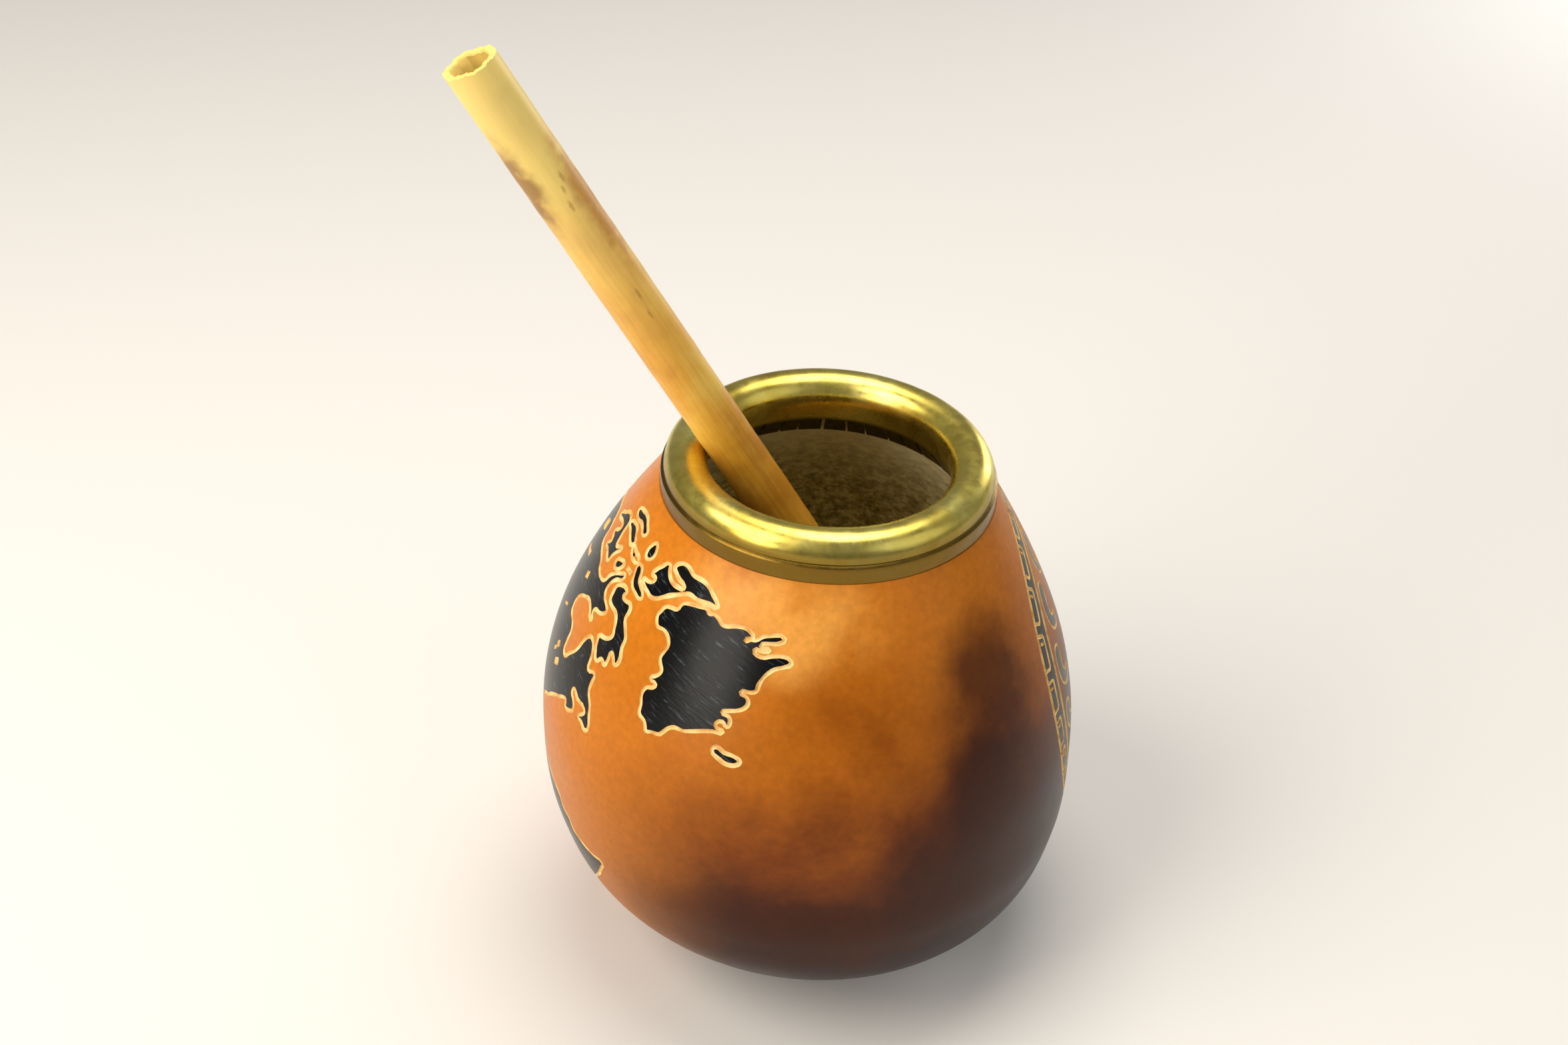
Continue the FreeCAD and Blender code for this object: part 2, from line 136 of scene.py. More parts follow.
def addNode(material, kind, settings=None, links=None):
    # settings go to the node, or to its sockets where the key names one
    tree = material.node_tree
    node = tree.nodes.new(kind)
    for key, value in (settings or {}).items():
        if key == "stops":
            ramp = node.color_ramp.elements
            for index, (position, shade) in enumerate(value):
                stop = ramp[index] if index < 2 else ramp.new(position)
                stop.position = position
                stop.color = toLinear(shade)
        elif isinstance(key, int) or key in node.inputs:
            node.inputs[key].default_value = value
        else:
            setattr(node, key, value)
    for key, source in (links or {}).items():
        tree.links.new(source, node.inputs[key])
    return node


# The gourd: a skin of rings that swell from the flat to the belly and close to the neck.
gourd = {
    "height": 79.2, "bellyRadius": 41.0, "baseRadius": 16.7, "shoulderRadius": 24.4,
    "baseShift": 2.3, "bellyBow": 2.0, "bellyShare": 0.44,
    "neckRadius": 23.68, "neckTop": 81.4, "mouthRadius": 20.2, "mouthBottom": 77.0,
    "wall": 4.2, "floor": 5.0, "baseRound": 0.7, "lowestRing": 0.42,
    "swell": [
        (0.0, 0.0), (0.06, 0.337), (0.18, 0.784), (0.32, 0.972), (0.44, 1.0),
        (0.56, 0.963), (0.68, 0.822), (0.80, 0.575), (0.91, 0.283), (1.0, 0.0),
    ],
    # how much steeper the swell runs at the flat and at the neck than between the knots there
    "flatSteepness": 1.22, "neckSteepness": 1.12,
    "outerRings": 112, "innerRings": 30, "innerCrowding": 1.4, "steps": 288,
    # darker brown patches as azimuth, height, size along each axis and strength: partly the skin's own tone,
    # partly painted shade on the right and low on the front
    "darkPatchesAndShade": [
        (-40, 61, (14, 14, 25), 0.8), (-47, 45, (17, 17, 25), 0.9), (-43, 31, (17, 17, 17), 0.6),
        (-62, 33, (17, 17, 13), 0.4), (-96, 26, (32, 32, 14), 0.55),
    ],
    # a painted highlight: a paler orange patch under the rim, as azimuth, height, size along each axis and
    # strength
    "paintedHighlightPatch": (-104, 74, (22, 22, 11), 0.75),
}


def smoothThrough(knots, x):
    # a smooth curve through the knots, with the slope at each set by its neighbours
    index = max(i for i in range(len(knots) - 1) if knots[i][0] <= x or i == 0)
    slopes = []
    for i in (index, index + 1):
        left, middle, right = knots[max(i - 1, 0)], knots[i], knots[min(i + 1, len(knots) - 1)]
        before = (middle[1] - left[1]) / (middle[0] - left[0]) if i > 0 else None
        after = (right[1] - middle[1]) / (right[0] - middle[0]) if i < len(knots) - 1 else None
        if before is None:
            slopes.append(gourd["flatSteepness"] * after)
        elif after is None:
            slopes.append(gourd["neckSteepness"] * before)
        else:
            gapBefore, gapAfter = middle[0] - left[0], right[0] - middle[0]
            slopes.append((before * gapAfter + after * gapBefore) / (gapBefore + gapAfter))
    (x0, y0), (x1, y1) = knots[index], knots[index + 1]
    span = x1 - x0
    t = (x - x0) / span
    return (
        y0 * (1 + 2 * t) * (1 - t) ** 2 + slopes[0] * span * t * (1 - t) ** 2
        + y1 * t * t * (3 - 2 * t) + slopes[1] * span * t * t * (t - 1)
    )


def skinRadius(height):
    share = min(max(height / gourd["height"], 0), 1)
    end = gourd["baseRadius"] if share < gourd["bellyShare"] else gourd["shoulderRadius"]
    return end + (gourd["bellyRadius"] - end) * smoothThrough(gourd["swell"], share)


def cavityRadius(height):
    share = (height - gourd["floor"]) / (gourd["mouthBottom"] - gourd["floor"])
    end = gourd["baseRadius"] if share < gourd["bellyShare"] else gourd["mouthRadius"]
    full = smoothThrough(gourd["swell"], min(max(share, 0), 1))
    return end + (gourd["bellyRadius"] - gourd["wall"] - end) * full


def middleAt(height, low, high):
    share = min(max((height - low) / (high - low), 0), 1)
    return (1 - share) * (gourd["baseShift"] - 4 * share * gourd["bellyBow"])


def onSkin(azimuth, height):
    turn = math.radians(azimuth)
    radius = skinRadius(height)
    middle = middleAt(height, 0, gourd["height"])
    return Vector((middle + radius * math.cos(turn), radius * math.sin(turn), height))


def makeGourd(finishes):
    outer = [(0.0, 0.0), (gourd["baseRadius"] - gourd["baseRound"], 0.0)]
    for ring in range(gourd["outerRings"] + 1):
        height = max(gourd["height"] * ring / gourd["outerRings"], gourd["lowestRing"])
        outer.append((skinRadius(height), height))
    outer += [(gourd["neckRadius"], gourd["height"]), (gourd["neckRadius"], gourd["neckTop"])]

    inner = [
        (gourd["neckRadius"], gourd["neckTop"]), (gourd["mouthRadius"], gourd["neckTop"]),
        (gourd["mouthRadius"], (gourd["neckTop"] + gourd["mouthBottom"]) / 2),
    ]
    for ring in range(gourd["innerRings"] + 1):
        # closer together near the mouth, where they show
        drop = (ring / gourd["innerRings"]) ** gourd["innerCrowding"]
        height = gourd["mouthBottom"] + (gourd["floor"] - gourd["mouthBottom"]) * drop
        inner.append((cavityRadius(height), height))
    inner.append((0.0, gourd["floor"]))

    shells = []
    for name, profile, low, high, finish in (
        ("gourd", outer, 0.0, gourd["height"], finishes[0]),
        ("cavity", inner, gourd["floor"], gourd["mouthBottom"], finishes[-1]),
    ):
        shell = drawLine(name, [(radius, 0.0, height) for radius, height in profile])
        turnRound(shell, gourd["steps"])
        for vertex in shell.data.vertices:
            vertex.co.x += middleAt(vertex.co.z / mm, low, high) * mm
        for layer in finishes:
            shell.data.materials.append(layer)
        for face in shell.data.polygons:
            face.material_index = finishes.index(finish)
        shells.append(shell)
    body = joinPieces(shells)
    openEdit(body)
    bpy.ops.mesh.select_all(action="SELECT")
    bpy.ops.mesh.remove_doubles(threshold=0.00002)
    bpy.ops.mesh.normals_make_consistent(inside=False)
    closeEdit()
    print("gourd turned:", len(body.data.polygons), "faces")
    return body


# The carving: cream grooves round dyed fields, as (azimuth in degrees, height in millimetres)
# on the skin, where -90 degrees faces the front. Seeds are places inside the dyed fields.
carving = {
    "width": 0.68, "unevenness": 0.2, "piecesBetween": 3, "sides": 1,
    "coasts": {
        "front": [
            (-133.6, 71.1), (-131.9, 71.4), (-129.9, 71.6), (-129.1, 72.5), (-126.4, 73.0),
            (-123.8, 73.2), (-121.1, 73.35), (-120.2, 73.0), (-118.5, 73.1), (-116.7, 72.8),
            (-115.4, 72.4), (-113.6, 72.4), (-112.3, 72.65), (-110.2, 72.8), (-108.2, 72.8),
            (-106.7, 72.5), (-105.8, 72.1), (-107.7, 71.5), (-106.3, 71.75), (-104.9, 71.8),
            (-103.5, 72.35), (-102.0, 72.6), (-97.3, 72.6), (-98.8, 71.95), (-100.8, 71.8),
            (-103.3, 71.3), (-100.7, 71.0), (-102.6, 70.75), (-104.6, 70.65), (-102.6, 70.0),
            (-99.6, 70.4), (-96.7, 70.55), (-94.9, 70.25), (-94.6, 69.8), (-96.1, 69.35),
            (-98.5, 68.9), (-99.9, 68.3), (-101.0, 67.5), (-101.6, 66.7), (-101.9, 65.9),
            (-103.2, 65.6), (-105.5, 65.35), (-103.8, 64.9), (-103.2, 64.3), (-103.8, 63.55),
            (-105.5, 63.0), (-107.3, 62.7), (-108.8, 62.3), (-107.0, 62.0), (-106.4, 61.3),
            (-106.9, 60.65), (-108.2, 61.15), (-109.6, 60.7), (-109.2, 60.2), (-107.6, 59.9),
            (-109.9, 59.6), (-112.6, 59.1), (-114.9, 58.6), (-116.7, 58.25), (-118.8, 58.2),
            (-120.2, 57.75), (-121.4, 56.8), (-122.0, 56.4), (-124.1, 56.15), (-125.5, 55.9),
            (-126.0, 56.4), (-126.7, 57.0), (-128.5, 57.5), (-128.9, 58.8), (-129.6, 59.8),
            (-129.6, 60.5), (-128.9, 61.15), (-127.6, 61.5), (-126.9, 62.1), (-129.1, 62.4),
            (-128.2, 62.9), (-127.1, 63.5), (-126.9, 64.1), (-127.9, 64.8), (-128.5, 65.4),
            (-128.2, 66.4), (-127.8, 67.2), (-128.2, 67.7), (-129.4, 68.3), (-131.1, 68.6),
            (-133.2, 68.5), (-134.3, 69.0), (-134.9, 69.7), (-134.6, 70.25),
        ],
        "frontIslet": [
            (-108.2, 57.8), (-106.3, 57.35), (-103.8, 57.15), (-102.6, 56.7), (-103.0, 56.2),
            (-105.1, 55.9), (-107.1, 56.3), (-109.1, 57.2),
        ],
        "tongues": [
            (-146.2, 71.7), (-144.3, 71.95), (-142.3, 72.3), (-142.1, 72.9), (-143.9, 73.0),
            (-143.5, 73.8), (-142.2, 74.6), (-140.1, 75.4), (-138.8, 74.8), (-137.3, 74.2),
            (-135.2, 73.85), (-133.2, 73.85), (-131.0, 74.1), (-132.0, 74.5), (-134.1, 74.7),
            (-136.2, 75.1), (-137.7, 75.5), (-136.4, 76.3), (-134.2, 76.55), (-132.2, 76.4),
            (-130.2, 76.05), (-127.9, 76.05), (-125.5, 76.0), (-123.2, 75.65), (-121.1, 75.1),
            (-118.8, 74.35), (-118.5, 74.1), (-121.4, 73.95), (-125.5, 73.8), (-128.5, 73.9),
            (-130.2, 73.55), (-132.3, 73.0), (-134.4, 72.4), (-136.1, 71.8), (-137.9, 71.15),
            (-140.2, 70.8), (-142.1, 71.0), (-144.6, 71.2),
        ],
        "hook": [
            (-153.9, 67.2), (-153.9, 68.2), (-152.1, 68.9), (-150.0, 69.1), (-148.9, 68.8),
            (-149.3, 68.2), (-147.5, 68.0), (-145.4, 68.2), (-144.3, 67.6), (-144.3, 66.4),
            (-142.5, 65.4), (-140.9, 64.4), (-140.7, 63.2), (-139.6, 61.6), (-140.5, 60.7),
            (-142.1, 61.4), (-143.2, 61.6), (-143.2, 60.4), (-143.6, 59.6), (-145.4, 59.8),
            (-146.8, 59.0), (-148.6, 59.8), (-149.8, 61.2), (-150.0, 61.7), (-147.9, 62.2),
            (-146.4, 62.6), (-145.5, 63.4), (-146.1, 64.2), (-147.1, 65.2), (-148.6, 65.8),
            (-151.1, 65.9), (-153.2, 66.2),
        ],
        "mainland": [
            (-192.9, 69.6), (-186.8, 70.4), (-183.9, 70.6), (-180.7, 69.8), (-177.9, 68.8),
            (-176.8, 67.6), (-172.9, 67.2), (-168.9, 66.9), (-166.8, 66.35), (-162.5, 66.2),
            (-160.4, 66.7), (-159.6, 67.8), (-158.2, 68.6), (-155.4, 69.6), (-153.4, 69.95),
            (-153.6, 69.2), (-155.7, 68.5), (-157.0, 67.6), (-157.3, 66.4), (-156.1, 65.7),
            (-153.6, 65.25), (-152.1, 64.8), (-152.7, 64.2), (-154.6, 63.6), (-156.8, 63.3),
            (-157.3, 62.6), (-155.9, 61.9), (-157.7, 61.9), (-158.9, 62.45), (-162.1, 62.8),
            (-164.6, 62.2), (-166.8, 61.4), (-168.4, 60.2), (-168.2, 59.0), (-167.3, 58.4),
            (-164.3, 58.2), (-162.3, 57.4), (-161.9, 55.6), (-161.4, 54.2), (-159.6, 54.1),
            (-158.2, 55.2), (-156.1, 56.6), (-155.2, 57.8), (-154.6, 59.0), (-153.2, 60.3),
            (-151.8, 60.5), (-150.0, 59.8), (-148.9, 58.4), (-148.2, 57.0), (-145.4, 57.4),
            (-145.2, 56.0), (-145.0, 54.8), (-143.2, 53.4), (-142.4, 52.0), (-141.6, 50.0),
            (-142.5, 49.4), (-144.3, 50.0), (-145.9, 50.2), (-144.3, 51.4), (-144.5, 52.0),
            (-147.9, 52.2), (-149.3, 52.6), (-150.5, 52.8), (-150.9, 52.0), (-149.3, 51.2),
            (-148.6, 50.0), (-149.5, 49.4), (-152.0, 49.0), (-152.5, 49.8), (-153.9, 49.6),
            (-156.1, 48.6), (-158.9, 47.4), (-161.4, 46.2), (-162.9, 45.2), (-165.7, 44.0),
            (-172.0, 41.0), (-182.0, 40.0), (-195.0, 43.0), (-205.0, 50.0), (-208.0, 60.0),
            (-200.0, 67.0),
        ],
        "sliver": [
            (-169.5, 75.7), (-166.8, 76.2), (-162.0, 76.5), (-159.3, 76.1), (-156.6, 75.5),
            (-157.9, 74.85), (-160.7, 75.2), (-162.9, 75.35), (-165.7, 75.0), (-169.3, 75.2),
        ],
        "lowSliver": [
            (-168.4, 73.8), (-165.7, 74.4), (-162.9, 74.5), (-160.7, 73.9), (-158.9, 73.4),
            (-160.0, 72.7), (-162.5, 72.9), (-165.7, 73.3), (-168.2, 73.5),
        ],
        "shortSliver": [
            (-158.2, 73.1), (-155.7, 73.0), (-152.5, 72.8), (-152.1, 72.3), (-154.3, 72.05),
            (-157.1, 72.3),
        ],
        "roundIslet": [
            (-151.1, 75.3), (-149.6, 75.9), (-148.2, 75.5), (-147.5, 74.7), (-148.2, 74.0),
            (-150.0, 73.7), (-151.3, 74.2),
        ],
        "longIslet": [
            (-161.1, 69.9), (-159.6, 70.4), (-156.8, 70.6), (-157.1, 70.0), (-158.6, 69.2),
            (-160.4, 69.1),
        ],
        "crescent": [
            (-151.1, 72.4), (-149.6, 72.6), (-148.2, 72.1), (-147.1, 71.2), (-145.4, 70.8),
            (-143.0, 70.2), (-142.9, 69.7), (-146.1, 69.7), (-148.6, 70.0), (-150.4, 71.0),
        ],
        "claw": [
            (-178.9, 71.5), (-176.4, 72.6), (-173.6, 73.6), (-171.1, 73.8), (-169.3, 73.4),
            (-168.4, 72.3), (-167.5, 71.2), (-166.3, 70.4), (-164.3, 70.9), (-162.5, 71.2),
            (-163.8, 70.2), (-164.8, 69.2), (-165.2, 68.2), (-167.9, 68.3), (-170.0, 68.5),
            (-172.5, 68.4), (-171.0, 69.5), (-173.6, 70.3), (-171.8, 71.2), (-171.4, 71.9),
            (-172.9, 72.0), (-175.4, 71.7), (-177.9, 71.3),
        ],
        "lowland": [
            (-172.0, 35.0), (-166.0, 34.0), (-160.0, 33.0), (-156.0, 32.4), (-152.3, 31.9),
            (-151.2, 30.9), (-150.0, 30.2), (-147.3, 29.9), (-146.4, 28.6), (-144.0, 28.2),
            (-141.0, 27.9), (-138.0, 27.9), (-134.8, 28.0), (-135.6, 26.6), (-136.8, 25.2),
            (-137.6, 24.2), (-139.4, 22.6), (-141.4, 21.0), (-143.6, 19.2), (-148.0, 16.5),
            (-156.0, 14.0), (-166.0, 13.5), (-176.0, 16.0), (-184.0, 22.0), (-186.0, 29.0),
            (-180.0, 34.0),
        ],
    },
    "seeds": {
        "front": (-115.0, 66.0), "frontIslet": (-105.6, 56.7), "tongues": (-140.5, 73.0),
        "hook": (-144.6, 65.0), "mainland": (-165.0, 64.5), "sliver": (-163.0, 75.9),
        "lowSliver": (-163.5, 73.75), "shortSliver": (-155.2, 72.55), "roundIslet": (-149.5, 74.9),
        "longIslet": (-158.8, 69.9), "crescent": (-148.6, 71.0), "claw": (-169.6, 70.0),
        "lowland": (-150.0, 24.0),
    },
    # short fat strokes: two ends and the width
    "strokes": [
        ((-186.8, 66.6), (-182.2, 67.8), 1.7), ((-171.9, 63.1), (-169.7, 63.7), 1.2),
        ((-185.9, 62.3), (-179.2, 63.5), 0.9), ((-166.8, 52.6), (-165.2, 53.5), 1.1),
        ((-168.2, 51.2), (-166.6, 52.2), 0.6), ((-164.6, 50.7), (-162.1, 51.8), 1.2),
        ((-155.0, 70.8), (-151.6, 70.8), 0.8), ((-175.2, 56.2), (-172.2, 57.2), 0.5),
    ],
}

# A round medallion on the right: two compass circles with running hooks between them
# and curls inside, all measured in millimetres from its middle on the skin. A hook or curl
# starts at 0 and the next one at 1, and "lowest" and "highest" are heights on the gourd.
medallion = {
    "azimuth": 31.7, "height": 48.5, "outer": 34.4, "inner": 30.8, "width": 0.8, "degrees": 4,
    "lowest": 0.5, "highest": 79.0, "halvings": 24,
    "hooks": 34, "hookReach": 2.0, "hookLength": 0.74, "hookWidth": 0.62,
    "hookCorner": 0.06, "hookRound": 0.3,
    "fleckPlace": 0.16, "fleckGap": 0.5, "fleckWidth": 0.434,
    "curls": 20, "curlWidth": 0.5, "curlMiddle": (0.45, 27.8),
    "curlPath": [
        (0.10, 28.9), (0.34, 29.4), (0.60, 28.9), (0.80, 27.2), (0.84, 25.0), (0.72, 23.2),
        (0.58, 23.8), (0.62, 25.4), (0.50, 26.7), (0.28, 26.8), (0.08, 27.4),
    ],
}


def compassPoint(turn, radius):
    # the place on the skin at this distance from the medallion's middle, turned from its right
    middle = onSkin(medallion["azimuth"], medallion["height"])
    near, far = 0.0, radius * 2
    for _ in range(medallion["halvings"]):
        reach = (near + far) / 2
        azimuth = medallion["azimuth"] + math.degrees(reach * math.cos(turn) / gourd["bellyRadius"])
        height = medallion["height"] + reach * math.sin(turn)
        place = onSkin(azimuth, min(max(height, medallion["lowest"]), medallion["highest"]))
        if (place - middle).length < radius:
            near = reach
        else:
            far = reach
    return place


def drawGroove(places, width, closed=True, handles="AUTO"):
    bpy.ops.object.select_all(action="DESELECT")
    bpy.ops.curve.primitive_bezier_curve_add()
    groove = bpy.context.object
    groove.data.splines.clear()
    spline = groove.data.splines.new("BEZIER")
    spline.bezier_points.add(len(places) - 1)
    for index, (point, place) in enumerate(zip(spline.bezier_points, places)):
        point.co = place * mm
        point.handle_left_type = point.handle_right_type = handles
        point.radius = 1 + carving["unevenness"] * wobble(index, places[0].x)
    spline.use_cyclic_u = closed
    groove.data.dimensions = "3D"
    groove.data.resolution_u = carving["piecesBetween"]
    groove.data.bevel_depth = width / 2 * mm
    groove.data.bevel_resolution = carving["sides"]
    groove.data.use_fill_caps = not closed
    bpy.ops.object.convert(target="MESH")
    return bpy.context.object


def makeGrooves(creamFinish):
    grooves = [
        drawGroove([onSkin(*point) for point in coast], carving["width"])
        for coast in carving["coasts"].values()
    ]
    for start, end, width in carving["strokes"]:
        middle = ((start[0] + end[0]) / 2, (start[1] + end[1]) / 2)
        places = [onSkin(*point) for point in (start, middle, end)]
        grooves.append(drawGroove(places, width, closed=False))
    for radius in (medallion["outer"], medallion["inner"]):
        circle = [compassPoint(math.radians(turn), radius) for turn in range(0, 360, medallion["degrees"])]
        grooves.append(drawGroove(circle, medallion["width"]))

    pitch = 2 * math.pi / medallion["hooks"]
    outside, inside = medallion["outer"], medallion["outer"] - medallion["hookReach"]
    corner, gap = pitch * medallion["hookCorner"], medallion["fleckGap"]
    for hook in range(medallion["hooks"]):
        start = hook * pitch
        end = start + pitch * medallion["hookLength"]
        bend = inside + medallion["hookRound"]
        path = [(start, outside), (start, bend), (start + corner, inside)]
        path += [(end - corner, inside), (end, bend), (end, outside)]
        places = [compassPoint(*point) for point in path]
        grooves.append(drawGroove(places, medallion["hookWidth"], closed=False, handles="VECTOR"))
        fleck = start + pitch * medallion["fleckPlace"]
        places = [compassPoint(fleck, radius) for radius in (outside - gap, inside + gap)]
        grooves.append(drawGroove(places, medallion["fleckWidth"], closed=False))

    pitch = 2 * math.pi / medallion["curls"]
    for curl in range(medallion["curls"]):
        start = curl * pitch
        places = [compassPoint(start + share * pitch, radius) for share, radius in medallion["curlPath"]]
        grooves.append(drawGroove(places, medallion["curlWidth"]))
    cutter = joinPieces(grooves)
    cutter.data.materials.clear()
    cutter.data.materials.append(creamFinish)
    print("grooves drawn:", len(cutter.data.polygons), "faces")
    return cutter


def dyeFields(body, skinIndex, dyedIndex):
    # dye floods each field from its seed up to the bare grooves
    middle = onSkin(medallion["azimuth"], medallion["height"])
    seeds = [onSkin(*seed) for seed in carving["seeds"].values()]
    pitch = 2 * math.pi / medallion["curls"]
    share, radius = medallion["curlMiddle"]
    seeds += [compassPoint((curl + share) * pitch, radius) for curl in range(medallion["curls"])]
    skinFaces = [
        (face.index, face.center / mm)
        for face in body.data.polygons if face.material_index == skinIndex
    ]
    chosen = [min(skinFaces, key=lambda item: (item[1] - seed).length)[0] for seed in seeds]
    openEdit(body)
    bpy.ops.mesh.select_all(action="DESELECT")
    closeEdit()
    for index in chosen:
        body.data.polygons[index].select = True
    openEdit(body)
    bpy.ops.mesh.select_linked(delimit={"MATERIAL"})
    closeEdit()
    flooded = [face.index for face in body.data.polygons if face.select]
    print("dyed", len(flooded), "of", len(skinFaces), "skin faces")
    for index, place in skinFaces:
        if medallion["inner"] < (place - middle).length < medallion["outer"]:
            flooded.append(index)
    for index in flooded:
        body.data.polygons[index].material_index = dyedIndex


# The rim: one brass sheet rolled over the cut mouth, with its lower edge slit into tabs.
# The profile's points are (radius, height); each "Error" is how far handwork strays.
rim = {
    "sheet": 0.5, "steps": 228,
    "skirt": [
        (24.28, 79.2), (24.28, 79.7), (24.28, 80.82), (24.28, 81.32), (24.22, 81.62), (23.98, 81.82),
        (23.66, 81.98),
    ],
    "beadCentre": (20.67, 82.3), "beadTube": 3.16, "beadFrom": -3, "beadTo": 197, "beadSteps": 32,
    "knee": (18.59, 78.4), "liningShares": (0.25, 0.5, 0.75, 0.93),
    "tabEnd": (20.92, 74.9), "tabShares": (0.05, 0.25, 0.5, 0.75, 1.0),
    "tabs": 38, "slitWidth": 0.38, "slitTop": 78.2, "slitFoot": 74.3, "slitRadius": 19.6, "slitReach": 4.6,
    "slitTurnError": 1.3, "slitTopError": 0.25, "slitWidthError": 0.4,
    "ripple": 0.10, "rippleSize": 7,
}


def makeRim():
    profile = list(rim["skirt"])
    for step in range(rim["beadSteps"] + 1):
        share = step / rim["beadSteps"]
        turn = math.radians(rim["beadFrom"] + (rim["beadTo"] - rim["beadFrom"]) * share)
        profile.append((
            rim["beadCentre"][0] + rim["beadTube"] * math.cos(turn),
            rim["beadCentre"][1] + rim["beadTube"] * math.sin(turn),
        ))
    for start, end, shares in (
        (profile[-1], rim["knee"], rim["liningShares"]), (rim["knee"], rim["tabEnd"], rim["tabShares"]),
    ):
        for share in shares:
            profile.append((
                start[0] + (end[0] - start[0]) * share, start[1] + (end[1] - start[1]) * share,
            ))
    sheet = drawLine("rim", [(radius, 0.0, height) for radius, height in profile])
    turnRound(sheet, rim["steps"])
    applyModifier(sheet, "SOLIDIFY", thickness=rim["sheet"] * mm, offset=-1, use_even_offset=True)

    slits = []
    for slit in range(rim["tabs"]):
        turn = 2 * math.pi * slit / rim["tabs"] + math.radians(rim["slitTurnError"]) * wobble(slit, 1.0)
        top = rim["slitTop"] + rim["slitTopError"] * wobble(slit, 2.0)
        low = rim["slitFoot"]
        bpy.ops.mesh.primitive_cube_add(size=1, location=(rim["slitRadius"] * mm, 0, (top + low) / 2 * mm))
        knife = bpy.context.object
        width = rim["slitWidth"] * (1 + rim["slitWidthError"] * wobble(slit, 3.0))
        knife.scale = (rim["slitReach"] * mm, width * mm, (top - low) * mm)
        bpy.ops.object.transform_apply()
        openEdit(knife)
        bpy.ops.mesh.select_all(action="SELECT")
        bpy.ops.transform.rotate(
            value=-turn, orient_axis="Z", orient_type="GLOBAL", center_override=(0, 0, 0)
        )
        closeEdit()
        slits.append(knife)
    knives = joinPieces(slits)
    applyModifier(sheet, "BOOLEAN", object=knives, operation="DIFFERENCE", solver="EXACT")
    bpy.data.objects.remove(knives)

    ripples = bpy.data.textures.new("handWorkedRipples", "CLOUDS")
    ripples.noise_scale = rim["rippleSize"] * mm
    applyModifier(
        sheet, "DISPLACE", texture=ripples, texture_coords="LOCAL",
        strength=rim["ripple"] * mm, mid_level=0.5,
    )
    bpy.ops.object.shade_smooth_by_angle(angle=math.radians(38))
    print("rim rolled:", len(sheet.data.polygons), "faces")
    return sheet


# The straw: a length of cane with a thin wall, sawn aslant at the top and closed by its node.
straw = {
    "length": 150.8, "radius": 3.675, "bore": 2.55, "node": 2.5,
    "footRound": 0.8, "footTurns": (30, 60, 90),
    "lean": 30.8, "heading": 192.3, "touch": 181, "steps": 64, "rings": 56, "girthError": 0.010,
    "kerfs": 5, "kerfStart": 6.0, "kerfSpacing": 3.5, "kerfWidth": 0.7, "kerfDepth": 2.6,
    # the sawn top: its slope, the length it runs out over, the last plain ring of the bore,
    # its worn lip and the saw's marks as (waves round the cane, depth, start)
    "topAngle": 5, "topLength": 4, "boreRing": 6,
    "lipOut": 0.35, "lipRise": 0.05, "lipIn": 0.2, "lipDrop": 0.3,
    "sawMarks": [(5, 0.10, 1), (13, 0.07, 0), (29, 0.05, 0)],
    # scorches, knocks and nicks as height, turn, size along each axis, shade and strength
    "stains": [
        (133.0, 228, (3.8, 3.8, 12.0), "#763a10", 0.75), (127.0, 345, (3.2, 3.2, 17.0), "#b96f26", 0.7),
        (132.5, 315, (0.45, 0.45, 1.5), "#a86c2a", 0.5),
        (130.9, 303, (0.35, 0.35, 1.1), "#a86c2a", 0.5), (128.5, 297, (0.45, 0.45, 1.4), "#a86c2a", 0.5),
        (112.5, 309, (0.35, 0.35, 1.5), "#8f5a22", 0.45), (109.0, 305, (0.35, 0.35, 1.3), "#8f5a22", 0.45),
        (62.0, 250, (3.0, 3.0, 30.0), "#b97a2c", 0.6),
    ],
}


def strawPlace():
    # the CAD cane gives the middle line; the rim it lies against gives the side that faces up
    lean, heading, touch = [math.radians(straw[key]) for key in ("lean", "heading", "touch")]
    up = Vector((math.sin(lean) * math.cos(heading), math.sin(lean) * math.sin(heading), math.cos(lean)))
    side = Vector((-math.sin(touch), math.cos(touch), 0)).cross(up).normalized()
    if side.z < 0:
        side = -side
    across = up.cross(side)
    points = [vertex.co for vertex in nodes["straw"].data.vertices]
    reach = {}
    for name, axis in (("side", side), ("across", across)):
        values = [point.dot(axis) for point in points]
        reach[name] = (min(values) + max(values)) / 2
    foot = side * reach["side"] + across * reach["across"] + up * min(point.dot(up) for point in points)
    place = Matrix((side, across, up)).transposed().to_4x4()
    place.translation = foot
    return place


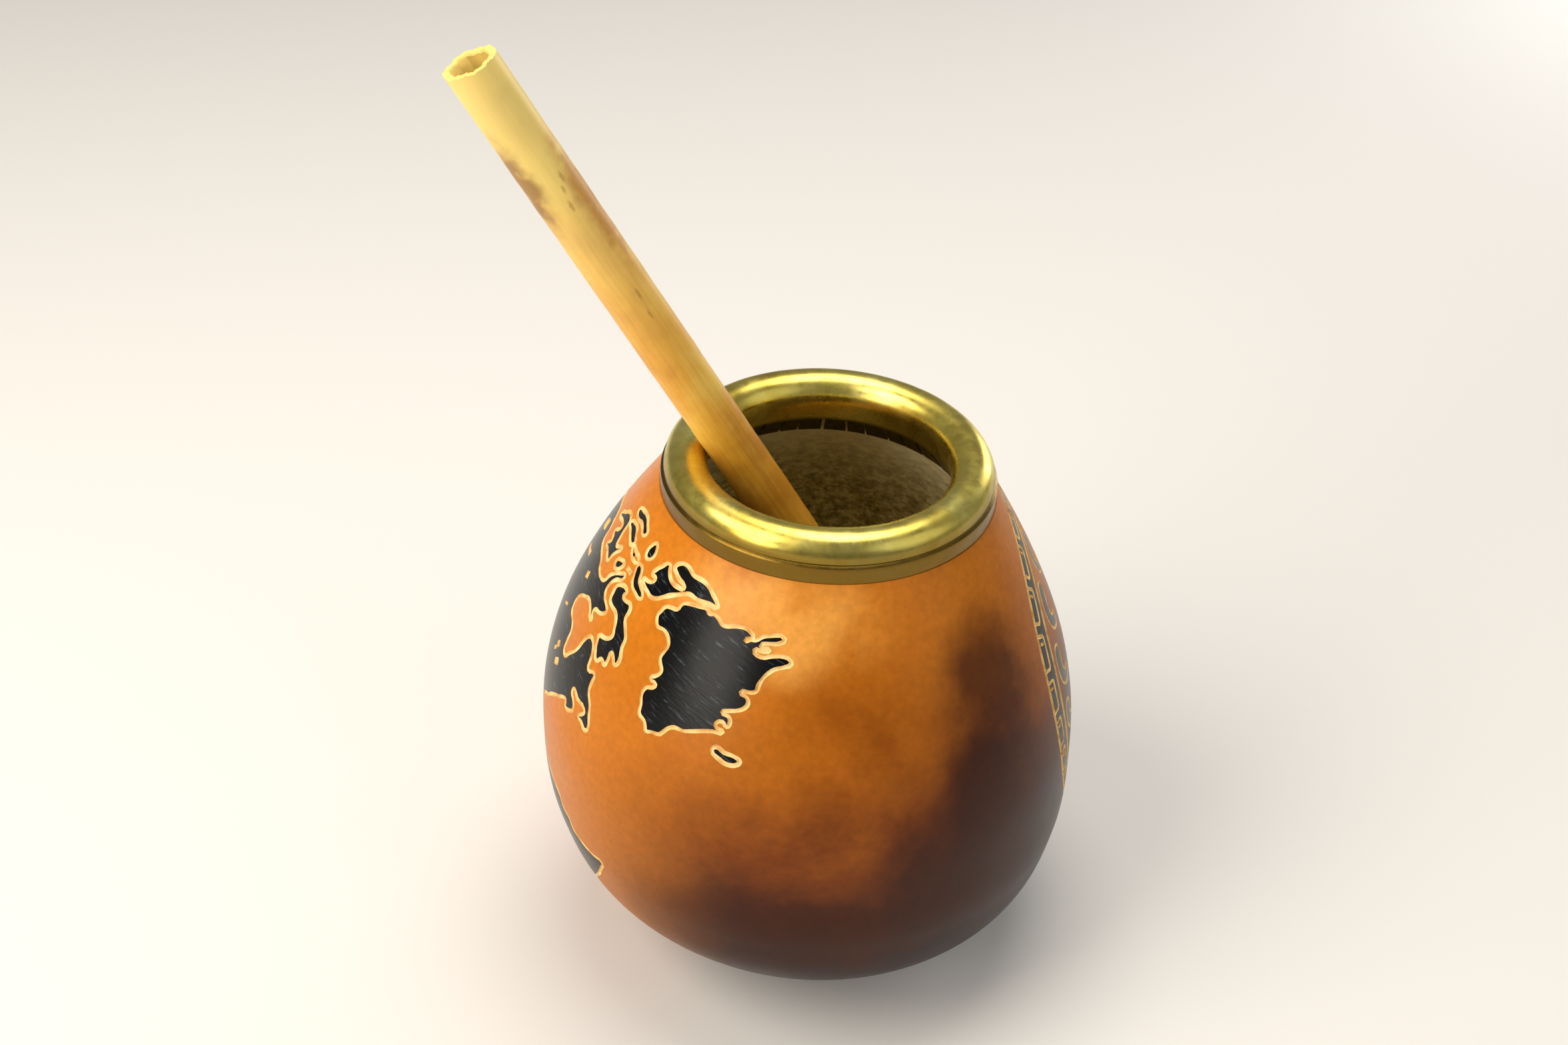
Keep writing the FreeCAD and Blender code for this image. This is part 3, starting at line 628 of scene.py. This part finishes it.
def makeStraw(place):
    radius, bore, length = straw["radius"], straw["bore"], straw["length"]
    profile = [(0.0, 0.0), (radius - straw["footRound"], 0.0)]
    for turn in straw["footTurns"]:
        profile.append((
            radius - straw["footRound"] * (1 - math.sin(math.radians(turn))),
            straw["footRound"] * (1 - math.cos(math.radians(turn))),
        ))
    for ring in range(1, straw["rings"] + 1):
        height = straw["footRound"] + (length - straw["footRound"]) * ring / straw["rings"]
        profile.append((radius * (1 + straw["girthError"] * wobble(ring, 0.5)), height))
    profile += [(radius - straw["lipOut"], length + straw["lipRise"]), (bore + straw["lipIn"], length)]
    profile += [(bore, length - straw["lipDrop"]), (bore, length - straw["boreRing"])]
    profile += [(bore, straw["node"]), (0.0, straw["node"])]
    cane = drawLine("straw", [(r, 0.0, z) for r, z in profile])
    turnRound(cane, straw["steps"])
    slope, zone = math.tan(math.radians(straw["topAngle"])), straw["topLength"]
    for vertex in cane.data.vertices:
        share = (vertex.co.z / mm - (length - zone)) / zone
        if share > 0:
            turn = math.atan2(vertex.co.y, vertex.co.x)
            ragged = sum(depth * math.sin(waves * turn + start) for waves, depth, start in straw["sawMarks"])
            vertex.co.z -= share * (slope * (vertex.co.x + radius * mm) + ragged * mm)

    kerfs = []
    for kerf in range(straw["kerfs"]):
        height = straw["kerfStart"] + straw["kerfWidth"] / 2 + kerf * straw["kerfSpacing"]
        bpy.ops.mesh.primitive_cube_add(size=1, location=(radius * mm, 0, height * mm))
        saw = bpy.context.object
        saw.scale = (2 * straw["kerfDepth"] * mm, 4 * radius * mm, straw["kerfWidth"] * mm)
        bpy.ops.object.transform_apply()
        kerfs.append(saw)
    saws = joinPieces(kerfs)
    applyModifier(cane, "BOOLEAN", object=saws, operation="DIFFERENCE", solver="EXACT")
    bpy.data.objects.remove(saws)
    cane.data.transform(place)
    bpy.ops.object.select_all(action="DESELECT")
    cane.select_set(True)
    bpy.context.view_layer.objects.active = cane
    bpy.ops.object.shade_smooth_by_angle(angle=math.radians(35))
    print("straw made:", len(cane.data.polygons), "faces")
    return cane


def addStainAndPaintedLight(material, tone, place, centre, size, shade, strength):
    # a soft-edged patch over the tone, for real stains and for painted shade and highlights: centre and size
    # along each axis in millimetres
    local = addNode(material, "ShaderNodeMapping", {
        "vector_type": "TEXTURE", "Location": Vector(centre) * mm, "Scale": Vector(size) * mm,
    }, {"Vector": place})
    patch = addNode(material, "ShaderNodeTexGradient", {"gradient_type": "SPHERICAL"}, {
        "Vector": local.outputs["Vector"],
    })
    uneven = addNode(material, "ShaderNodeTexNoise", {
        "Scale": 1.4 / (min(size) * mm), "Detail": 3.0, "Roughness": 0.5,
    }, {"Vector": place})
    broken = addNode(material, "ShaderNodeMath", {"operation": "MULTIPLY"}, {
        0: patch.outputs["Fac"], 1: uneven.outputs["Fac"],
    })
    share = addNode(material, "ShaderNodeMapRange", {
        "From Min": 0.05, "From Max": 0.40, "To Min": 0.0, "To Max": strength,
        "interpolation_type": "SMOOTHSTEP",
    }, {"Value": broken.outputs["Value"]})
    return addNode(material, "ShaderNodeMix", {"data_type": "RGBA", 7: toLinear(shade)}, {
        0: share.outputs["Result"], 6: tone,
    }).outputs[2]


def burnishedCalabash():
    # dried calabash, scraped smooth, waxed and rubbed: orange-tan and cloudy, with painted light brightening
    # the left side, browner towards the foot and darker on the right, partly its own tone and partly painted
    # shade, with a painted highlight under the rim, under a thin soft gloss; its index is below wax's 1.45,
    # because a pale studio gives the wax more to mirror
    material, shader = newMaterial("burnished calabash")
    place = addNode(material, "ShaderNodeTexCoord").outputs["Object"]
    axes = addNode(material, "ShaderNodeSeparateXYZ", links={"Vector": place})
    clouds = addNode(material, "ShaderNodeTexNoise", {
        "Scale": 1 / (27 * mm), "Detail": 5.0, "Roughness": 0.6, "Distortion": 0.25,
    }, {"Vector": place})
    drift = addNode(material, "ShaderNodeMapRange", {
        "From Min": 0.3, "From Max": 0.7, "To Min": -11 * mm, "To Max": 11 * mm, "clamp": False,
    }, {"Value": clouds.outputs["Fac"]})
    # painted shade: the level drops towards the right, so the skin darkens there as well as towards the foot
    rightShadeTilt = addNode(material, "ShaderNodeMath", {"operation": "MULTIPLY_ADD", 1: -0.14}, {
        0: axes.outputs["X"], 2: axes.outputs["Z"],
    })
    toneAndShadeLevel = addNode(material, "ShaderNodeMath", {"operation": "ADD"}, {
        0: rightShadeTilt.outputs["Value"], 1: drift.outputs["Result"],
    })
    share = addNode(material, "ShaderNodeMapRange", {
        "From Min": 12 * mm, "From Max": (gourd["height"] + 6) * mm,
    }, {"Value": toneAndShadeLevel.outputs["Value"]})
    # partly the skin's own browner foot, partly painted shade: near black at the foot to orange at the neck
    toneAndFootShade = addNode(material, "ShaderNodeValToRGB", {
        "stops": [
            (0.12, "#250c01"), (0.32, "#481c01"), (0.48, "#763803"), (0.66, "#a4590c"),
            (0.82, "#bd6c11"), (0.95, "#c5741b"),
        ],
    }, {"Fac": share.outputs["Result"]})
    # painted light: the skin turns brighter orange towards the left, the side the key lamp faces
    paintedLitLeft = addNode(material, "ShaderNodeMapRange", {
        "From Min": -6 * mm, "From Max": -38 * mm, "To Min": 0.0, "To Max": 0.7,
        "interpolation_type": "SMOOTHSTEP",
    }, {"Value": axes.outputs["X"]})
    tone = addNode(material, "ShaderNodeMix", {"data_type": "RGBA", 7: toLinear("#df8313")}, {
        0: paintedLitLeft.outputs["Result"], 6: toneAndFootShade.outputs["Color"],
    }).outputs[2]
    # darker brown patches, partly the skin's own tone and partly painted shade on the right and low on the
    # front
    for azimuth, height, size, strength in gourd["darkPatchesAndShade"]:
        tone = addStainAndPaintedLight(material, tone, place, onSkin(azimuth, height), size, "#3a1300", strength)
    # painted highlight: a paler orange patch just under the rim on the front left
    azimuth, height, size, strength = gourd["paintedHighlightPatch"]
    tone = addStainAndPaintedLight(material, tone, place, onSkin(azimuth, height), size, "#eda64c", strength)
    pores = addNode(material, "ShaderNodeTexNoise", {
        "Scale": 1 / (1.1 * mm), "Detail": 4.0, "Roughness": 0.62,
    }, {"Vector": place})
    poreTone = addNode(material, "ShaderNodeMapRange", {
        "From Min": 0.35, "From Max": 0.65, "To Min": 0.90, "To Max": 1.06,
    }, {"Value": pores.outputs["Fac"]})
    speckled = addNode(material, "ShaderNodeVectorMath", {"operation": "SCALE"}, {
        0: tone, "Scale": poreTone.outputs["Result"],
    })
    bump = addNode(material, "ShaderNodeBump", {"Strength": 0.15, "Distance": 0.05 * mm}, {
        "Height": pores.outputs["Fac"],
    })
    rubbed = addNode(material, "ShaderNodeMapRange", {
        "From Min": 0.3, "From Max": 0.7, "To Min": 0.26, "To Max": 0.42,
    }, {"Value": clouds.outputs["Fac"]})
    material.node_tree.links.new(speckled.outputs["Vector"], shader.inputs["Base Color"])
    material.node_tree.links.new(rubbed.outputs["Result"], shader.inputs["Roughness"])
    material.node_tree.links.new(bump.outputs["Normal"], shader.inputs["Normal"])
    shader.inputs["IOR"].default_value = 1.27
    return material


def dyedCalabash():
    # the same skin under a blue-black dye, rubbed glossy, with fine slanting scratches whose pale bluish
    # colour is painted sheen
    material, shader = newMaterial("dyed calabash")
    place = addNode(material, "ShaderNodeTexCoord").outputs["Object"]
    slanted = addNode(material, "ShaderNodeMapping", {
        "vector_type": "TEXTURE", "Rotation": (0.0, math.radians(20), 0.0), "Scale": (20, 5, 1),
    }, {"Vector": place})
    scratchesAndSheen = addNode(material, "ShaderNodeTexNoise", {
        "Scale": 1 / (0.36 * mm), "Detail": 4.0, "Roughness": 0.6,
    }, {"Vector": slanted.outputs["Vector"]})
    # painted sheen: the pale bluish stop lights up the scratches
    tone = addNode(material, "ShaderNodeValToRGB", {
        "stops": [(0.48, "#030405"), (0.60, "#0b0e10"), (0.72, "#4c575e")],
    }, {"Fac": scratchesAndSheen.outputs["Fac"]})
    bump = addNode(material, "ShaderNodeBump", {"Strength": 0.6, "Distance": 0.07 * mm}, {
        "Height": scratchesAndSheen.outputs["Fac"],
    })
    material.node_tree.links.new(tone.outputs["Color"], shader.inputs["Base Color"])
    material.node_tree.links.new(bump.outputs["Normal"], shader.inputs["Normal"])
    shader.inputs["Roughness"].default_value = 0.25
    shader.inputs["IOR"].default_value = 1.28
    return material


def bareCalabash():
    # the pale flesh that the graver uncovers: dry, matt and slightly stained
    material, shader = newMaterial("bare calabash flesh")
    place = addNode(material, "ShaderNodeTexCoord").outputs["Object"]
    stain = addNode(material, "ShaderNodeTexNoise", {"Scale": 1 / (1.6 * mm), "Detail": 3.0}, {
        "Vector": place,
    })
    tone = addNode(material, "ShaderNodeValToRGB", {
        "stops": [(0.30, "#d9a860"), (0.50, "#f2cf8a"), (0.75, "#fbe3aa")],
    }, {"Fac": stain.outputs["Fac"]})
    material.node_tree.links.new(tone.outputs["Color"], shader.inputs["Base Color"])
    shader.inputs["Roughness"].default_value = 0.75
    return material


def cavityFlesh():
    # the scraped inside, stained grey-green by the herb, with painted light making it paler near the mouth:
    # crumbly and quite matt
    material, shader = newMaterial("herb-stained calabash flesh")
    place = addNode(material, "ShaderNodeTexCoord").outputs["Object"]
    crumbs = addNode(material, "ShaderNodeTexNoise", {
        "Scale": 1 / (1.9 * mm), "Detail": 6.0, "Roughness": 0.72,
    }, {"Vector": place})
    tone = addNode(material, "ShaderNodeValToRGB", {
        "stops": [(0.36, "#8a7b3c"), (0.48, "#c0af68"), (0.60, "#f3e6ae")],
    }, {"Fac": crumbs.outputs["Fac"]})
    axes = addNode(material, "ShaderNodeSeparateXYZ", links={"Vector": place})
    # painted light: the wall turns pale cream towards the mouth, where light reaches in
    paintedMouthLight = addNode(material, "ShaderNodeMapRange", {
        "From Min": 56 * mm, "From Max": 74 * mm, "To Min": 0.0, "To Max": 0.8,
    }, {"Value": axes.outputs["Z"]})
    litNearMouth = addNode(material, "ShaderNodeMix", {"data_type": "RGBA", 7: toLinear("#fff3c6")}, {
        0: paintedMouthLight.outputs["Result"], 6: tone.outputs["Color"],
    })
    bump = addNode(material, "ShaderNodeBump", {"Strength": 0.9, "Distance": 0.5 * mm}, {
        "Height": crumbs.outputs["Fac"],
    })
    material.node_tree.links.new(litNearMouth.outputs[2], shader.inputs["Base Color"])
    material.node_tree.links.new(bump.outputs["Normal"], shader.inputs["Normal"])
    shader.inputs["Roughness"].default_value = 0.9
    return material


def rubbedBrass():
    # spun sheet brass gone slightly green and dulled by hands: broad soft highlights, with painted
    # shade darkening the skirt, in place of the dark surroundings it mirrors, and the tabs inside the mouth
    material, shader = newMaterial("rubbed brass")
    place = addNode(material, "ShaderNodeTexCoord").outputs["Object"]
    tarnish = addNode(material, "ShaderNodeTexNoise", {
        "Scale": 1 / (9 * mm), "Detail": 5.0, "Roughness": 0.6,
    }, {"Vector": place})
    tone = addNode(material, "ShaderNodeValToRGB", {
        "stops": [(0.30, "#c9ae48"), (0.50, "#e4d065"), (0.70, "#f3e686")],
    }, {"Fac": tarnish.outputs["Fac"]})
    axes = addNode(material, "ShaderNodeSeparateXYZ", links={"Vector": place})
    flat = addNode(material, "ShaderNodeVectorMath", {"operation": "MULTIPLY", 1: (1, 1, 0)}, {
        0: place,
    })
    outwards = addNode(material, "ShaderNodeVectorMath", {"operation": "LENGTH"}, {
        0: flat.outputs["Vector"],
    })
    darkened = tone.outputs["Color"]
    # painted shade: the brass darkens towards the outside over the skirt and downwards over the tabs inside
    # the mouth
    for reading, litEnd, shadedEnd, shade, strength in (
        (outwards.outputs["Value"], 23.3, 23.9, "#6d4e1a", 0.92),
        (axes.outputs["Z"], 78.9, 77.9, "#4a3715", 0.9),
    ):
        paintedShade = addNode(material, "ShaderNodeMapRange", {
            "From Min": litEnd * mm, "From Max": shadedEnd * mm, "To Min": 0.0, "To Max": strength,
        }, {"Value": reading})
        darkened = addNode(material, "ShaderNodeMix", {"data_type": "RGBA", 7: toLinear(shade)}, {
            0: paintedShade.outputs["Result"], 6: darkened,
        }).outputs[2]
    rubbing = addNode(material, "ShaderNodeTexNoise", {
        "Scale": 1 / (2.2 * mm), "Detail": 4.0, "Roughness": 0.65,
    }, {"Vector": place})
    dullness = addNode(material, "ShaderNodeMapRange", {
        "From Min": 0.3, "From Max": 0.7, "To Min": 0.22, "To Max": 0.36,
    }, {"Value": rubbing.outputs["Fac"]})
    bump = addNode(material, "ShaderNodeBump", {"Strength": 0.2, "Distance": 0.03 * mm}, {
        "Height": rubbing.outputs["Fac"],
    })
    material.node_tree.links.new(darkened, shader.inputs["Base Color"])
    material.node_tree.links.new(dullness.outputs["Result"], shader.inputs["Roughness"])
    material.node_tree.links.new(bump.outputs["Normal"], shader.inputs["Normal"])
    shader.inputs["Metallic"].default_value = 1.0
    return material


def driedCane(place):
    # river cane, dried yellow: long fine fibres under a hard smooth skin, palest at the top,
    # scorched brown on one side and nicked where twigs were trimmed
    material, shader = newMaterial("dried cane")
    world = addNode(material, "ShaderNodeTexCoord").outputs["Object"]
    along = addNode(material, "ShaderNodeMapping", {
        "vector_type": "TEXTURE", "Location": place.translation, "Rotation": place.to_euler(),
    }, {"Vector": world}).outputs["Vector"]
    stretched = addNode(material, "ShaderNodeMapping", {"Scale": (1.0, 1.0, 1 / 26)}, {
        "Vector": along,
    })
    fibres = addNode(material, "ShaderNodeTexNoise", {
        "Scale": 1 / (0.38 * mm), "Detail": 4.0, "Roughness": 0.6,
    }, {"Vector": stretched.outputs["Vector"]})
    cloudy = addNode(material, "ShaderNodeTexNoise", {"Scale": 1 / (11 * mm), "Detail": 4.0}, {
        "Vector": along,
    })
    blend = addNode(material, "ShaderNodeMix", {"data_type": "FLOAT", 0: 0.75}, {
        2: fibres.outputs["Fac"], 3: cloudy.outputs["Fac"],
    })
    aged = addNode(material, "ShaderNodeValToRGB", {
        "stops": [(0.36, "#c8851f"), (0.50, "#e8a936"), (0.64, "#f6c857")],
    }, {"Fac": blend.outputs[0]})
    axes = addNode(material, "ShaderNodeSeparateXYZ", links={"Vector": along})
    # the cane turns paler towards the top
    palerTowardsTop = addNode(material, "ShaderNodeMapRange", {
        "From Min": 95 * mm, "From Max": 146 * mm, "To Min": 0.0, "To Max": 0.75,
        "interpolation_type": "SMOOTHSTEP",
    }, {"Value": axes.outputs["Z"]})
    tone = addNode(material, "ShaderNodeMix", {"data_type": "RGBA", 7: toLinear("#ffe889")}, {
        0: palerTowardsTop.outputs["Result"], 6: aged.outputs["Color"],
    }).outputs[2]
    for height, turn, size, shade, strength in straw["stains"]:
        angle = math.radians(turn)
        centre = (straw["radius"] * math.cos(angle), straw["radius"] * math.sin(angle), height)
        tone = addStainAndPaintedLight(material, tone, along, centre, size, shade, strength)
    # painted shade: the bore darkens inside its open top
    tone = addStainAndPaintedLight(material, tone, along, (0, 0, straw["length"] - 7), (4.3, 4.3, 14), "#4a3517", 1.0)
    bump = addNode(material, "ShaderNodeBump", {"Strength": 0.25, "Distance": 0.05 * mm}, {
        "Height": fibres.outputs["Fac"],
    })
    material.node_tree.links.new(tone, shader.inputs["Base Color"])
    material.node_tree.links.new(bump.outputs["Normal"], shader.inputs["Normal"])
    shader.inputs["Roughness"].default_value = 0.42
    return material


skin, dyed, bare, inside = burnishedCalabash(), dyedCalabash(), bareCalabash(), cavityFlesh()
body = makeGourd([skin, dyed, inside])
cutter = makeGrooves(bare)
applyModifier(
    body, "BOOLEAN", object=cutter, operation="DIFFERENCE", solver="EXACT",
    use_self=True, material_mode="TRANSFER",
)
bpy.data.objects.remove(cutter)
dyeFields(body, 0, 1)
bpy.ops.object.select_all(action="DESELECT")
body.select_set(True)
bpy.context.view_layer.objects.active = body
bpy.ops.object.shade_smooth_by_angle(angle=math.radians(35))
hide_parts("gourd")
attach(body, "root")
print("gourd carved:", len(body.data.polygons), "faces, finishes", [m.name for m in body.data.materials])

ring = makeRim()
ring.data.materials.append(rubbedBrass())
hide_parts("rim")
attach(ring, "root")

canePlace = strawPlace()
cane = makeStraw(canePlace)
cane.data.materials.append(driedCane(canePlace))
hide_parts("straw")
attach(cane, "root")


# The photograph's viewpoint, and a plain pale studio with soft light from the upper left.
# A lamp is its place, what it points at, its width in millimetres, its power and its colour.
studio = {
    "camera": (2.32, -249.747, 249.528), "lens": 48.0,
    "right": (0.99669, 0.06660, 0.04662), "up": (-0.07659, 0.57681, 0.81328),
    "ahead": (-0.02727, 0.81416, -0.58000),
    "floorColour": "#f2efea", "worldStrength": 0.23,
    "lamps": {
        "key": ((-430, -240, 560), (0, 0, 50), 480, 3.0, "#fff6ea"),
        "overhead": ((10, 110, 560), (0, 0, 80), 400, 1.5, "#fffaf2"),
        "low front": ((-450, -470, 240), (0, 0, 60), 320, 1.5, "#fff6ea"),
        "back right": ((330, 480, 170), (0, 0, 60), 240, 0.5, "#ffffff"),
        "fill": ((520, -260, 380), (0, 0, 40), 600, 0.5, "#ffffff"),
    },
}


def softLamp(name, place, target, size, power, colour):
    bpy.ops.object.light_add(type="AREA", location=Vector(place) * mm)
    lamp = bpy.context.object
    lamp.name = name
    lamp.data.shape = "DISK"
    lamp.data.size = size * mm
    lamp.data.energy = power
    lamp.data.color = toLinear(colour)[:3]
    lamp.rotation_euler = (Vector(target) - Vector(place)).to_track_quat("-Z", "Y").to_euler()


def makeStudio():
    bpy.ops.mesh.primitive_plane_add(size=6.0, location=(0, 0, 0))
    floor = bpy.context.object
    floor.name = "studio floor"
    paper, shader = newMaterial("pale studio paper")
    shader.inputs["Base Color"].default_value = toLinear(studio["floorColour"])
    shader.inputs["Roughness"].default_value = 0.95
    floor.data.materials.append(paper)

    for name, lamp in studio["lamps"].items():
        softLamp(name, *lamp)

    world = bpy.data.worlds.new("studio")
    bpy.context.scene.world = world
    world.use_nodes = True
    world.node_tree.nodes["Background"].inputs["Color"].default_value = (1, 1, 1, 1)
    world.node_tree.nodes["Background"].inputs["Strength"].default_value = studio["worldStrength"]

    bpy.ops.object.camera_add(location=Vector(studio["camera"]) * mm)
    camera = bpy.context.object
    right, up, ahead = [Vector(studio[key]) for key in ("right", "up", "ahead")]
    camera.rotation_euler = Matrix((right, up, -ahead)).transposed().to_euler()
    camera.data.lens = studio["lens"]
    camera.data.sensor_width = 36.0
    camera.data.clip_start = 0.01
    camera.data.clip_end = 20.0
    bpy.context.scene.camera = camera
    bpy.context.scene.view_settings.view_transform = "Standard"


makeStudio()
print("studio set")
